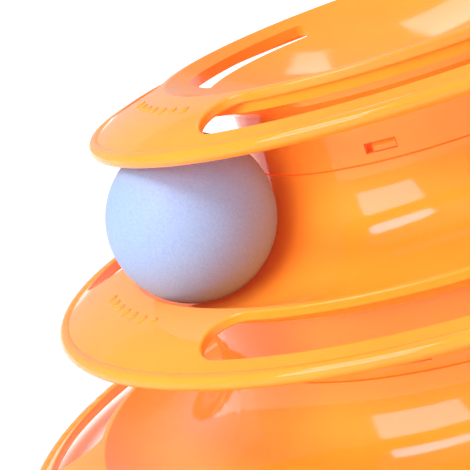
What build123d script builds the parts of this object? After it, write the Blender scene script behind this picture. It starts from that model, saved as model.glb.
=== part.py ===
"""Ball tower for cats: three moulded plates snap together, with a ball on two tracks and a bowl on top.

Millimetres, +Z up. The origin is on the table, in the middle under the tower.
"""

import os
from math import cos, degrees, radians, sin, sqrt

from build123d import *

os.makedirs("parts", exist_ok=True)

# Balls
ball_diameter = 38.0
ball_wall = 1.6
ball_gap = 0.3
lower_ball_angle = 330.0
upper_ball_angle = 213.9

# Ball tracks, round channels a little wider than the ball
base_track_radius = 86.4
track_clearance = 1.9
track_depth = 5.3
floor_height = 3.6

# Plates: an even wall, a crowned brim and a round bead along the rim
wall = 2.3
base_brim_width = 22.2
brim_width = 21.0
brim_crown = 0.95
bead_diameter = 3.5
bead_join_angle = 120.0
crest_round = 0.8
rim_gap = 1.1

# Finger slots in the brims
slot_count = 3
bridge_angle = 210.0
base_slot_span = 79.0
mid_slot_span = 69.5
top_slot_span = 74.0
slot_lip = 1.7
slot_round = 0.5
rim_bar = 5.9

# Bowl on top, with narrow slots in its slope and a skirt under its edge
bowl_clearance = 1.1
bowl_slot_inset = 3.6
bowl_slot_width = 4.9
bowl_slot_span = 56.0
skirt_drop = 4.6
skirt_setback = 0.6

# Collars that stand on the plate below, and the spigots inside them
collar_inset = 0.6
seam_bevel = 0.4
spigot_height = 11.0
spigot_wall = 2.0
spigot_root = 5.0
spigot_lead = 0.8
fit_gap = 0.25

# Snap windows in the collars and the lugs that click into them
window_angle = 259.0
window_width = 7.1
window_height = 2.3
window_sill = 2.3
lug_width = 5.2
lug_gap = 0.2
lug_recess = 0.3
lug_tip = 0.8

# Feet
rim_lift = 2.0
pad_count = 3
pad_diameter = 14.0
pad_round = 0.5
pad_recess = 0.8
pad_gap = 0.15
boss_wall = 1.6
boss_drop = 0.9
boss_cover = 0.3

# Worked-out sizes that the tiers share
ball_radius = ball_diameter / 2
bead_radius = bead_diameter / 2
channel_radius = ball_radius + track_clearance
seam_height = floor_height + channel_radius
crest_height = floor_height + track_depth
crest_offset = sqrt(2 * channel_radius * track_depth - track_depth**2)
tier_step = channel_radius + collar_inset
window_depth = 3 * wall

# Each plate stands over its own collar, which grows out of the track wall below
mid_track_radius = base_track_radius - tier_step
top_track_radius = mid_track_radius - tier_step

# A bead passes the ball below it at rim_gap
bead_reach = crest_offset + brim_width - tier_step - bead_radius
bead_distance = ball_radius + bead_radius + rim_gap
bead_climb = sqrt(max(bead_distance**2 - bead_reach**2, bead_radius**2))
tier_pitch = floor_height + ball_gap + ball_radius + bead_climb - bead_radius
collar_drop = tier_pitch - seam_height

base_height = rim_lift
mid_height = base_height + tier_pitch
top_height = mid_height + tier_pitch
slot_angle = bridge_angle + 180 / slot_count


def upright_plane(height, angle=0.0):
    """Drawing plane through the tower's axis: x runs outwards at an angle, y runs up from a height."""
    across = (cos(radians(angle)), sin(radians(angle)), 0)
    facing = (sin(radians(angle)), -cos(radians(angle)), 0)
    return Plane(origin=(0, 0, height), x_dir=across, z_dir=facing)


def channel_face(track_radius):
    """Track channel: two arcs about the ball's path, from the neck's top edge to the crest."""
    outer_radius = channel_radius + wall
    crest = (track_radius + crest_offset, crest_height)
    crest_under = (
        track_radius + crest_offset * outer_radius / channel_radius,
        seam_height - (seam_height - crest_height) * outer_radius / channel_radius,
    )
    neck_outside = (track_radius - channel_radius, seam_height)
    neck_inside = (track_radius - outer_radius, seam_height)
    with BuildLine() as outline:
        ThreePointArc(neck_outside, (track_radius, floor_height), crest)
        Line(crest, crest_under)
        ThreePointArc(crest_under, (track_radius, floor_height - wall), neck_inside)
        Line(neck_inside, neck_outside)
    make_face(outline.edges())


def brim_face(crest_radius, rim_radius):
    """Crowned brim from the crest down to the round bead on the rim."""
    bead_join = (
        rim_radius - bead_radius + bead_radius * cos(radians(bead_join_angle)),
        bead_radius + bead_radius * sin(radians(bead_join_angle)),
    )
    run = bead_join[0] - crest_radius
    fall = crest_height - bead_join[1]
    length = sqrt(run**2 + fall**2)
    crown_point = (
        crest_radius + run / 2 + brim_crown * fall / length,
        crest_height - fall / 2 + brim_crown * run / length,
    )
    with BuildLine() as outline:
        ThreePointArc((crest_radius, crest_height), crown_point, bead_join)
        Line(bead_join, (bead_join[0], bead_join[1] - wall))
        ThreePointArc(
            (bead_join[0], bead_join[1] - wall),
            (crown_point[0], crown_point[1] - wall),
            (crest_radius, crest_height - wall),
        )
        Line((crest_radius, crest_height - wall), (crest_radius, crest_height))
    make_face(outline.edges())
    with Locations((rim_radius - bead_radius, bead_radius)):
        Circle(bead_radius)


def collar_face(collar_radius, top_inside, top_outside):
    """Collar wall from the seam on the plate below up into this plate, with a bevel along the seam."""
    with BuildLine() as outline:
        Polyline(
            (collar_radius - wall, -collar_drop),
            (collar_radius - seam_bevel, -collar_drop),
            (collar_radius, -collar_drop + seam_bevel),
            (collar_radius, top_outside),
            (collar_radius - wall, top_inside),
            close=True,
        )
    make_face(outline.edges())


def spigot_face(collar_radius):
    """Spigot on top of the neck: it fills the next collar with a small gap and has a lead-in edge."""
    outside = collar_radius - wall - fit_gap
    inside = outside - spigot_wall
    top = seam_height + spigot_height
    with BuildLine() as outline:
        Polyline(
            (inside, seam_height - spigot_root),
            (collar_radius - wall / 2, seam_height - spigot_root),
            (collar_radius - wall / 2, seam_height),
            (outside, seam_height),
            (outside, top - spigot_lead),
            (outside - spigot_lead, top),
            (inside, top),
            close=True,
        )
    make_face(outline.edges())


def slot_ring(inner_radius, outer_radius, span):
    """Round-ended slots between two radii, evenly spaced, each between two bridges."""
    middle = (inner_radius + outer_radius) / 2
    width = outer_radius - inner_radius
    half_sweep = span / 2 - degrees(width / 2 / middle)
    middle_arc = Edge.make_circle(middle, start_angle=-half_sweep, end_angle=half_sweep)
    with PolarLocations(0, slot_count, start_angle=slot_angle):
        SlotArc(middle_arc, width)


def rounded_edges(plate):
    """Edges of the slots just cut, with the longest first, so that each rounding starts on a long arc."""
    return plate.edges(Select.LAST).filter_by(Axis.Z, reverse=True).sort_by(SortBy.LENGTH, reverse=True)


def window_ring(collar_radius):
    """Snap windows through a collar wall, seen from above."""
    with PolarLocations(collar_radius - wall / 2, slot_count, start_angle=window_angle):
        Rectangle(window_depth, window_width)


# Base tier: the widest plate, with a boss for each foot pad
base_crest = base_track_radius + crest_offset
base_rim = base_crest + base_brim_width
mid_collar = base_track_radius - channel_radius
pad_top = base_height + floor_height - wall - boss_drop + pad_recess

with BuildPart() as base_tier:
    with BuildSketch(upright_plane(base_height, bridge_angle)) as base_profile:
        channel_face(base_track_radius)
        brim_face(base_crest, base_rim)
        spigot_face(mid_collar)
        fillet(base_profile.vertices().sort_by_distance((base_crest, crest_height))[0], crest_round)
    revolve(axis=Axis.Z)
    with BuildSketch(Plane.XY.offset(base_height)):
        slot_ring(base_crest + slot_lip, base_rim - rim_bar, base_slot_span)
    extrude(amount=crest_height + wall, mode=Mode.SUBTRACT)
    fillet(rounded_edges(base_tier), slot_round)
    with BuildSketch(Plane.XY.offset(pad_top - pad_recess)):
        with PolarLocations(base_track_radius, pad_count, start_angle=bridge_angle):
            Circle(pad_diameter / 2 + boss_wall)
    extrude(amount=wall + boss_drop - boss_cover)
    with BuildSketch(Plane.XY.offset(pad_top - pad_recess)):
        with PolarLocations(base_track_radius, pad_count, start_angle=bridge_angle):
            Circle(pad_diameter / 2 + pad_gap)
    extrude(amount=pad_recess, mode=Mode.SUBTRACT)
base_tier.part.label = "base_tier"
export_step(base_tier.part, "parts/base_tier.step")

# Foot pads pressed into the bosses under the base
for index in range(pad_count):
    pad_angle = radians(bridge_angle + index * 360 / pad_count)
    pad_place = (base_track_radius * cos(pad_angle), base_track_radius * sin(pad_angle))
    with BuildPart() as foot_pad:
        with BuildSketch():
            with Locations(pad_place):
                Circle(pad_diameter / 2)
        extrude(amount=pad_top)
        fillet(foot_pad.edges().group_by(Axis.Z)[0], pad_round)
    foot_pad.part.label = f"foot_pad_{index + 1}"
    export_step(foot_pad.part, f"parts/foot_pad_{index + 1}.step")

# Middle tier: the same plate on a smaller track, with a collar that stands on the base
mid_crest = mid_track_radius + crest_offset
mid_rim = mid_crest + brim_width
top_collar = mid_track_radius - channel_radius

with BuildPart() as mid_tier:
    with BuildSketch(upright_plane(mid_height, bridge_angle)) as mid_profile:
        channel_face(mid_track_radius)
        brim_face(mid_crest, mid_rim)
        collar_face(mid_collar, floor_height - wall / 2, floor_height - wall / 2)
        spigot_face(top_collar)
        fillet(mid_profile.vertices().sort_by_distance((mid_crest, crest_height))[0], crest_round)
    revolve(axis=Axis.Z)
    with BuildSketch(Plane.XY.offset(mid_height)):
        slot_ring(mid_crest + slot_lip, mid_rim - rim_bar, mid_slot_span)
    extrude(amount=crest_height + wall, mode=Mode.SUBTRACT)
    fillet(rounded_edges(mid_tier), slot_round)
    with BuildSketch(Plane.XY.offset(mid_height - collar_drop + window_sill)):
        window_ring(mid_collar)
    extrude(amount=window_height, mode=Mode.SUBTRACT)
mid_tier.part.label = "mid_tier"
export_step(mid_tier.part, "parts/mid_tier.step")

# Top tier: the same slotted brim round an open bowl, part of a hollow ball that clears the spigot under it
top_crest = top_track_radius + crest_offset
top_rim = top_crest + brim_width
bowl_seat_radius = top_collar - wall - fit_gap - spigot_wall
bowl_seat_height = spigot_height - collar_drop + wall + bowl_clearance
bowl_rise = crest_height - bowl_seat_height
bowl_centre = (crest_height + bowl_seat_height) / 2 + (top_crest**2 - bowl_seat_radius**2) / (2 * bowl_rise)
bowl_radius = sqrt(top_crest**2 + (bowl_centre - crest_height) ** 2)
bowl_outer = bowl_radius + wall
bowl_slot_outer = top_crest - bowl_slot_inset
skirt_outer = top_crest + slot_lip - skirt_setback


def bowl_point(radius, reach):
    """Point of a ball's lower half about the bowl's centre, at a distance from the axis."""
    return (reach, bowl_centre - sqrt(radius**2 - reach**2))


with BuildPart() as top_tier:
    with BuildSketch(upright_plane(top_height, bridge_angle)) as top_profile:
        with BuildLine() as bowl_outline:
            ThreePointArc(
                bowl_point(bowl_radius, 0),
                bowl_point(bowl_radius, top_crest / 2),
                (top_crest, crest_height),
            )
            Line((top_crest, crest_height), bowl_point(bowl_outer, top_crest))
            ThreePointArc(
                bowl_point(bowl_outer, top_crest),
                bowl_point(bowl_outer, top_crest / 2),
                bowl_point(bowl_outer, 0),
            )
            Line(bowl_point(bowl_outer, 0), bowl_point(bowl_radius, 0))
        make_face(bowl_outline.edges())
        brim_face(top_crest, top_rim)
        collar_face(
            top_collar,
            bowl_point(bowl_radius, top_collar - wall)[1] - wall / 2,
            bowl_point(bowl_radius, top_collar)[1] - wall / 2,
        )
        fillet(top_profile.vertices().sort_by_distance((top_crest, crest_height))[0], crest_round)
    revolve(axis=Axis.Z)
    with BuildSketch(Plane.XY.offset(top_height)):
        slot_ring(top_crest + slot_lip, top_rim - rim_bar, top_slot_span)
    extrude(amount=crest_height + wall, mode=Mode.SUBTRACT)
    fillet(rounded_edges(top_tier), slot_round)
    with BuildSketch(upright_plane(top_height, bridge_angle)):
        with BuildLine() as skirt_outline:
            Polyline(
                (top_crest - wall / 2, crest_height - skirt_drop),
                (skirt_outer, crest_height - skirt_drop),
                (skirt_outer, crest_height - wall / 2),
                (top_crest - wall / 2, crest_height - wall / 2),
                close=True,
            )
        make_face(skirt_outline.edges())
    revolve(axis=Axis.Z)
    with BuildSketch(Plane.XY.offset(top_height + bowl_seat_height - wall)):
        slot_ring(bowl_slot_outer - bowl_slot_width, bowl_slot_outer, bowl_slot_span)
    extrude(amount=bowl_rise + wall, mode=Mode.SUBTRACT)
    with BuildSketch(Plane.XY.offset(top_height - collar_drop + window_sill)):
        window_ring(top_collar)
    extrude(amount=window_height, mode=Mode.SUBTRACT)
top_tier.part.label = "top_tier"
export_step(top_tier.part, "parts/top_tier.step")

# Snap lugs on each spigot: wedges that fill the windows of the collar above
lug_rings = {
    "base_snap_lugs": (mid_collar, base_height),
    "mid_snap_lugs": (top_collar, mid_height),
}
for name, (collar_radius, height) in lug_rings.items():
    lug_root = collar_radius - wall - fit_gap
    lug_foot = seam_height + window_sill + lug_gap
    lug_head = seam_height + window_sill + window_height - lug_gap
    lug_face = collar_radius - lug_recess
    lug_sweep = degrees(lug_width / collar_radius)
    lug_start = window_angle + degrees((window_width / 2 - lug_gap) / collar_radius) - lug_sweep
    with BuildPart() as lugs:
        for index in range(slot_count):
            with BuildSketch(upright_plane(height, lug_start + index * 360 / slot_count)):
                with BuildLine():
                    Polyline(
                        (lug_root, lug_foot),
                        (lug_face, lug_foot),
                        (lug_face, lug_head - lug_tip),
                        (lug_face - lug_tip, lug_head),
                        (lug_root, lug_head),
                        close=True,
                    )
                make_face()
            revolve(axis=Axis.Z, revolution_arc=lug_sweep)
    lugs.part.label = name
    export_step(lugs.part, f"parts/{name}.step")

# Balls: hollow, each resting on the floor of its track
balls = {
    "lower_ball": (base_track_radius, base_height, lower_ball_angle),
    "upper_ball": (mid_track_radius, mid_height, upper_ball_angle),
}
for name, (track_radius, height, angle) in balls.items():
    ball_place = (
        track_radius * cos(radians(angle)),
        track_radius * sin(radians(angle)),
        height + floor_height + ball_gap + ball_radius,
    )
    with BuildPart() as ball:
        with Locations(ball_place):
            Sphere(ball_radius)
            Sphere(ball_radius - ball_wall, mode=Mode.SUBTRACT)
    ball.part.label = name
    export_step(ball.part, f"parts/{name}.step")

print("tier pitch", round(tier_pitch, 2))
print("rim radii", round(base_rim, 2), round(mid_rim, 2), round(top_rim, 2))
print("track radii", round(base_track_radius, 2), round(mid_track_radius, 2))
print("bowl depth", round(crest_height - bowl_point(bowl_radius, 0)[1], 2))
print("height", round(top_height + crest_height, 2))
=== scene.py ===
# %% [markdown]
# # A ball tower for cats
# The tower is three moulded plates that clip onto each other, with a captive ball on each of two ring
# tracks and a shallow bowl on top. The solids already have the right shapes, so this lesson dresses them:
# glossy orange plastic, matte balls, rubber pads, a few raised grip pips, and a bright studio with a
# camera that looks in from close by.

from math import cos, radians, sin, tan

import bpy
from mathutils import Matrix, Vector


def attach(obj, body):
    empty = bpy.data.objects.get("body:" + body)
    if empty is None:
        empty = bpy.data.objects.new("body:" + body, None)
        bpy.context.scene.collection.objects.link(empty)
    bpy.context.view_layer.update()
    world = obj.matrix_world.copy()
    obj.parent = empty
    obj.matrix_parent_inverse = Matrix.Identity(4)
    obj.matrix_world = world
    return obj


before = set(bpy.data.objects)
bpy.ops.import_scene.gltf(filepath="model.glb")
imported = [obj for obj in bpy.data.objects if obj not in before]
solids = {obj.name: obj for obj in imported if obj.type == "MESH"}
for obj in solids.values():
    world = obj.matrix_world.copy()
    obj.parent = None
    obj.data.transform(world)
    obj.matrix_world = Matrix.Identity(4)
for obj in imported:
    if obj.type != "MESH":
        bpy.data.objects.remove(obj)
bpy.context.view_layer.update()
print("solids", sorted(solids))

# %% [markdown]
# ## A small toolbox for finishes
# A finish is a node tree. It could be clicked together by hand, or every node and link could be typed out
# in full, but that hides the idea behind it. So a few short helpers do the routine work. These three
# start a finish, set plain values on a node's inputs, and add a node.

# %% Helpers that build a finish
def start_finish(name):
    """An empty finish with its shader, and the coordinates that all its patterns read."""
    finish = bpy.data.materials.new(name)
    finish.use_nodes = True
    tree = finish.node_tree
    shader = tree.nodes["Principled BSDF"]
    place = tree.nodes.new("ShaderNodeTexCoord")
    return finish, tree, shader, place.outputs["Object"]


def set_inputs(node, **values):
    """Plain values on a node's inputs. An underscore stands for the space in an input's name."""
    for name, value in values.items():
        node.inputs[name.replace("_", " ")].default_value = value


def add_node(tree, kind, **values):
    """A new node with plain values on its inputs."""
    node = tree.nodes.new(kind)
    set_inputs(node, **values)
    return node


print("helpers", start_finish.__name__, set_inputs.__name__, add_node.__name__)

# %% [markdown]
# ## Patterns for finishes
# No moulded surface is quite even, so each finish needs some mottling, in its colour, its gloss and its
# relief. A painted picture could hold that, but a noise needs no picture, has no seams and stays sharp
# from close by. All patterns read Object coordinates, which are metres here, so a noise scale of 1000
# means detail about a millimetre across.

# %% Helpers that make patterns
def noise(tree, place, scale, detail=2.0, roughness=0.5):
    """Soft random mottling of about one over scale metres across."""
    node = add_node(tree, "ShaderNodeTexNoise", Scale=scale, Detail=detail, Roughness=roughness)
    tree.links.new(place, node.inputs["Vector"])
    return node.outputs["Fac"]


def between(tree, amount, low, high):
    """A number that runs from low to high as a noise runs over its usual range."""
    node = add_node(tree, "ShaderNodeMapRange", From_Min=0.3, From_Max=0.7, To_Min=low, To_Max=high)
    tree.links.new(amount, node.inputs["Value"])
    return node.outputs["Result"]


def two_colours(tree, amount, first, second):
    """A colour that drifts from one to another with a noise."""
    node = add_node(tree, "ShaderNodeValToRGB")
    start, end = node.color_ramp.elements
    start.position, start.color = 0.35, (*first, 1)
    end.position, end.color = 0.65, (*second, 1)
    tree.links.new(amount, node.inputs["Fac"])
    return node.outputs["Color"]


def relief(tree, height, depth, under=None):
    """Bumps of a depth in metres from a noise, on top of another relief if one is given."""
    node = add_node(tree, "ShaderNodeBump", Strength=1.0, Distance=depth)
    tree.links.new(height, node.inputs["Height"])
    if under is not None:
        tree.links.new(under, node.inputs["Normal"])
    return node.outputs["Normal"]


print("patterns", noise.__name__, between.__name__, two_colours.__name__, relief.__name__)

# %% [markdown]
# ## Glossy orange plastic
# The plates are polypropylene from a polished mould. Such plastic is a little cloudy: light enters,
# wanders and comes out again, redder than it went in. It could be a plain colour with a gloss on top, but
# then the shaded tracks would turn brown. Deep scattering would keep them warm, yet it makes walls this
# thin look like wax. So the scattering stays shallow, and a faint red glow is painted light: it lifts the
# shade everywhere alike, so the shaded tracks stay red-orange, and stands for the light that wanders
# inside. The reflections are tinted a little pink, as they look on the real plates. The colour drifts
# slightly, as pigment does when it flows into a mould, and a very shallow ripple keeps the reflections
# from being perfect.

# %% Orange plastic
orange_deep = (1.0, 0.35, 0.027)
orange_light = (1.0, 0.39, 0.034)
# Painted light: a faint red glow, the same everywhere, that lifts the shade on the plates.
painted_shade_glow = (1.0, 0.09, 0.03, 1)
pink_tint = (1.0, 0.62, 1.0, 1)


def make_orange_plastic():
    finish, tree, shader, place = start_finish("orange_plastic")
    flow = noise(tree, place, scale=28.0, detail=3.0)
    tree.links.new(two_colours(tree, flow, orange_deep, orange_light), shader.inputs["Base Color"])
    handling = noise(tree, place, scale=140.0, detail=4.0, roughness=0.6)
    tree.links.new(between(tree, handling, low=0.06, high=0.11), shader.inputs["Roughness"])
    ripple = relief(tree, noise(tree, place, scale=260.0, detail=1.0), depth=0.000012)
    skin = relief(tree, noise(tree, place, scale=2600.0), depth=0.0000012, under=ripple)
    tree.links.new(skin, shader.inputs["Normal"])
    set_inputs(shader, IOR=1.49, Specular_Tint=pink_tint)
    set_inputs(shader, Subsurface_Weight=0.2, Subsurface_Radius=(1.0, 0.4, 0.15), Subsurface_Scale=0.001)
    # Painted light: the red glow keeps every shaded part of the plates red-orange.
    set_inputs(shader, Emission_Color=painted_shade_glow, Emission_Strength=0.2)
    return finish


orange_plastic = make_orange_plastic()
print("finish", orange_plastic.name, "with", len(orange_plastic.node_tree.nodes), "nodes")

# %% [markdown]
# ## Matte ball plastic
# The balls come from a mould with an eroded, sandy skin, so they scatter light softly and show a fine
# grain. Grains modelled one by one would be far too many, so the grain is a bump a few hundredths of a
# millimetre deep, at about a third of a millimetre across. A fine speckle of two pale blues goes with it.

# %% Ball plastic
ball_blue = (0.33, 0.46, 0.77)
ball_pale = (0.40, 0.54, 0.84)


def make_ball_plastic():
    finish, tree, shader, place = start_finish("ball_plastic")
    speckle = noise(tree, place, scale=2000.0, detail=4.0, roughness=0.7)
    tree.links.new(two_colours(tree, speckle, ball_blue, ball_pale), shader.inputs["Base Color"])
    grain = noise(tree, place, scale=3200.0, roughness=0.6)
    tree.links.new(between(tree, grain, low=0.48, high=0.62), shader.inputs["Roughness"])
    tree.links.new(relief(tree, grain, depth=0.00004), shader.inputs["Normal"])
    set_inputs(shader, IOR=1.46)
    set_inputs(shader, Subsurface_Weight=0.15, Subsurface_Radius=(1.0, 1.0, 1.2), Subsurface_Scale=0.002)
    return finish


ball_plastic = make_ball_plastic()
print("finish", ball_plastic.name, "with", len(ball_plastic.node_tree.nodes), "nodes")

# %% [markdown]
# ## Pad rubber
# The pads under the base are soft grey rubber, dusty and dull. A flat grey would do from afar, but the
# pads show when the tower is turned over, so two sizes of noise dress them: a coarse one for the dust and
# a fine one for the pitted skin.

# %% Pad rubber
rubber_dark = (0.06, 0.06, 0.063)
rubber_dusty = (0.11, 0.11, 0.112)


def make_pad_rubber():
    finish, tree, shader, place = start_finish("pad_rubber")
    dust = noise(tree, place, scale=180.0, detail=4.0)
    tree.links.new(two_colours(tree, dust, rubber_dark, rubber_dusty), shader.inputs["Base Color"])
    pits = noise(tree, place, scale=2200.0, detail=3.0, roughness=0.65)
    tree.links.new(between(tree, pits, low=0.7, high=0.9), shader.inputs["Roughness"])
    tree.links.new(relief(tree, pits, depth=0.00006), shader.inputs["Normal"])
    return finish


pad_rubber = make_pad_rubber()
print("finish", pad_rubber.name, "with", len(pad_rubber.node_tree.nodes), "nodes")

# %% [markdown]
# ## Dress the solids
# Each solid keeps its mesh, because its shape is right already. Only the finish in its first slot
# changes. A list of every piece with its finish would do, but the pieces' names already tell the balls
# and the pads from the rest.

# %% Give every solid its finish
for name, solid in solids.items():
    if name.endswith("ball"):
        finish = ball_plastic
    elif name.startswith("foot_pad"):
        finish = pad_rubber
    else:
        finish = orange_plastic
    solid.material_slots[0].material = finish
    print(name, "wears", finish.name)

# %% [markdown]
# ## Grip pips on the brims
# Between two slots, each brim has a broad bridge, and a short row of low pips on it gives the hand a
# hold. The pips could be set by numbers, but then the height and slope of each crowned brim would have to
# be worked out first. So one pip is a ball, flattened in edit mode and cut off below, and the rest are
# copies of its mesh. Each copy is dropped onto the brim by a ray that looks straight down, so every pip
# sits on the real surface.

# %% One pip, modelled by hand
pip_radius = 0.0013
pip_height = 0.0004
pip_root = -0.0003


def model_pip():
    bpy.ops.object.select_all(action="DESELECT")
    bpy.ops.mesh.primitive_uv_sphere_add(segments=24, ring_count=12, radius=pip_radius)
    pip = bpy.context.object
    bpy.ops.object.mode_set(mode="EDIT")
    bpy.ops.mesh.select_all(action="SELECT")
    bpy.ops.transform.resize(value=(1, 1, pip_height / pip_radius))
    bpy.ops.mesh.bisect(plane_co=(0, 0, pip_root), plane_no=(0, 0, 1), clear_inner=True, use_fill=True)
    bpy.ops.object.mode_set(mode="OBJECT")
    bpy.ops.object.shade_smooth_by_angle(angle=radians(50))
    return pip


first_pip = model_pip()
print("pip has", len(first_pip.data.polygons), "faces")

# %% Rows of pips on every bridge
bridge_angles = (90, 210, 330)
pip_step = 0.0052
pips_in_row = 7
ray_start = 0.01


def pip_place(solid, radius, angle):
    """Where a ray that looks down on the brim meets it, as a matrix that stands a pip on the surface."""
    top = max(corner[2] for corner in solid.bound_box)
    above = Vector((radius * cos(angle), radius * sin(angle), top + ray_start))
    spot, facing = solid.ray_cast(above, Vector((0, 0, -1)))[1:3]
    return Matrix.Translation(spot) @ facing.to_track_quat("Z", "Y").to_matrix().to_4x4()


def pip_rows(solid, radius):
    """All the pips of one brim, joined into one object that sits at the origin."""
    bpy.ops.object.select_all(action="DESELECT")
    for bridge in bridge_angles:
        for count in range(pips_in_row):
            along = (count - (pips_in_row - 1) / 2) * pip_step / radius
            copy = first_pip.copy()
            copy.data = first_pip.data.copy()
            bpy.context.collection.objects.link(copy)
            copy.matrix_world = pip_place(solid, radius, radians(bridge) + along)
            copy.select_set(True)
            bpy.context.view_layer.objects.active = copy
    bpy.ops.object.join()
    bpy.ops.object.transform_apply(location=True, rotation=True, scale=True)
    return bpy.context.object


# %% Pips for the three plates
row_radii = {"base_tier": 0.1065, "mid_tier": 0.0850, "top_tier": 0.0635}

for name, radius in row_radii.items():
    pips = pip_rows(solids[name], radius)
    pips.name = name + "_pips"
    pips.data.materials.clear()
    pips.data.materials.append(orange_plastic)
    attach(pips, "tower")
    print(pips.name, len(pips.data.polygons), "faces")
bpy.data.objects.remove(first_pip)

# %% [markdown]
# ## The floor and the sky
# The picture is high-key: white all round. Lamps strong enough to turn the whole floor white would wash
# out the tower. So the floor glows a little by itself, and more the further back it lies, where the lamps
# in front no longer reach. The sky is an even, dim white that softens every shadow.

# %% Floor and sky
floor_size = 30
floor_grey = (0.93, 0.93, 0.93)
floor_white = (0.95, 0.95, 0.95)
glow_starts = -0.05
glow_full = 0.8
glow_most = 0.7
sky_strength = 0.42


def add_floor():
    bpy.ops.object.select_all(action="DESELECT")
    bpy.ops.mesh.primitive_plane_add(size=floor_size)
    floor = bpy.context.object
    floor.name = "studio_floor"
    paint, tree, shader, place = start_finish("floor_paint")
    mottle = two_colours(tree, noise(tree, place, scale=3.0), floor_grey, floor_white)
    tree.links.new(mottle, shader.inputs["Base Color"])
    set_inputs(shader, Roughness=0.8, Emission_Color=(1, 1, 1, 1))
    parts = add_node(tree, "ShaderNodeSeparateXYZ")
    tree.links.new(place, parts.inputs["Vector"])
    glow = add_node(tree, "ShaderNodeMapRange", From_Min=glow_starts, From_Max=glow_full, To_Max=glow_most)
    tree.links.new(parts.outputs["Y"], glow.inputs["Value"])
    tree.links.new(glow.outputs["Result"], shader.inputs["Emission Strength"])
    floor.data.materials.append(paint)
    return floor


def add_sky():
    sky = bpy.data.worlds.new("white_studio")
    sky.use_nodes = True
    set_inputs(sky.node_tree.nodes["Background"], Color=(1, 1, 1, 1), Strength=sky_strength)
    bpy.context.scene.world = sky
    return sky


floor = add_floor()
sky = add_sky()
print("stage", floor.name, sky.name)

# %% [markdown]
# ## Soft lights
# A studio lights such a toy with large soft panels. Bare lamps would do too, but they show as hard dots
# in the gloss. The soft box and the narrow strip above it stand in front on the left, and show in the
# walls as a bright patch with a thin bar below it. Where a highlight sits tells where its light is:
# mirror the line of sight in the wall, and it points at the light. Two narrow panels behind make the soft
# patches in the bowl in the same way, and a dim white board behind lifts the far rims. The key box lights
# the tops from high up and is kept out of the reflections, so it adds no patch of its own. The camera
# sees none of the panels.

# %% Light panels
light_target = Vector((0, 0, 0.07))
light_distance = 2.0


def panel_side(angle):
    """The length of a panel's side that fills an angle when it is seen from the tower."""
    return 2 * light_distance * tan(radians(angle / 2))


def add_panel(name, azimuth, elevation, wide, high, power, roll=0, mirrored=True):
    """A rectangular light in a direction from the tower, with its size given as angles."""
    a, e = radians(azimuth), radians(elevation)
    away = Vector((sin(a) * cos(e), -cos(a) * cos(e), sin(e)))
    light = bpy.data.lights.new(name, "AREA")
    light.shape = "RECTANGLE"
    light.size = panel_side(wide)
    light.size_y = panel_side(high)
    light.energy = power * light.size * light.size_y
    panel = bpy.data.objects.new(name, light)
    bpy.context.collection.objects.link(panel)
    panel.visible_camera = False
    panel.visible_glossy = mirrored
    panel.location = light_target + away * light_distance
    facing = away.to_track_quat("Z", "Y").to_matrix()
    panel.rotation_euler = (facing @ Matrix.Rotation(radians(roll), 3, "Z")).to_euler()
    print(name, "is", round(light.size, 2), "by", round(light.size_y, 2), "m at", panel.location)


add_panel("soft_box", azimuth=-34, elevation=25, wide=34, high=24, power=18)
add_panel("strip_box", azimuth=-37, elevation=52, wide=30, high=11, power=30)
add_panel("key_box", azimuth=-25, elevation=58, wide=40, high=30, power=7, mirrored=False)
add_panel("white_board", azimuth=-165, elevation=12, wide=110, high=30, power=0.6)
add_panel("back_box", azimuth=174.5, elevation=40.5, wide=2.8, high=13, power=7, roll=17)
add_panel("top_box", azimuth=-169, elevation=48, wide=7, high=14, power=9, roll=5)

# %% [markdown]
# ## The camera
# The photo is taken from close by with a long lens, with the camera held askew, so the tower leans. A
# camera could be turned by eye until the picture looks right, but the place and the lens found by fitting
# the tower's rims, seams and slots to the picture are much closer. The frame is square, so the lens
# follows from the focal length in pixels.

# %% Camera
photo_pixels = 470
focal_pixels = 1521.0
camera_place = Vector((0.02769, -0.35430, 0.13741))
camera_ahead = Vector((-0.21879, 0.94669, -0.23647))
camera_up = Vector((0.26952, 0.29154, 0.91780))


def add_camera():
    optics = bpy.data.cameras.new("photo_camera")
    optics.sensor_width = 36.0
    optics.lens = focal_pixels * optics.sensor_width / photo_pixels
    optics.clip_start = 0.01
    optics.clip_end = 100.0
    camera = bpy.data.objects.new("photo_camera", optics)
    bpy.context.collection.objects.link(camera)
    back = -camera_ahead.normalized()
    right = camera_up.cross(back).normalized()
    up = back.cross(right)
    turn = Matrix((right, up, back)).transposed().to_4x4()
    camera.matrix_world = Matrix.Translation(camera_place) @ turn
    bpy.context.scene.camera = camera
    return camera


camera = add_camera()
bpy.context.scene.view_settings.view_transform = "Standard"
print("lens", round(camera.data.lens, 1), "mm")

# %% [markdown]
# ## Bring the scene up to date
# The dressed tower must stay in the box of its solids: a pip that stands half a millimetre too high would
# not show in a picture. This last cell only brings the scene up to date.

# %% Finish
bpy.context.view_layer.update()
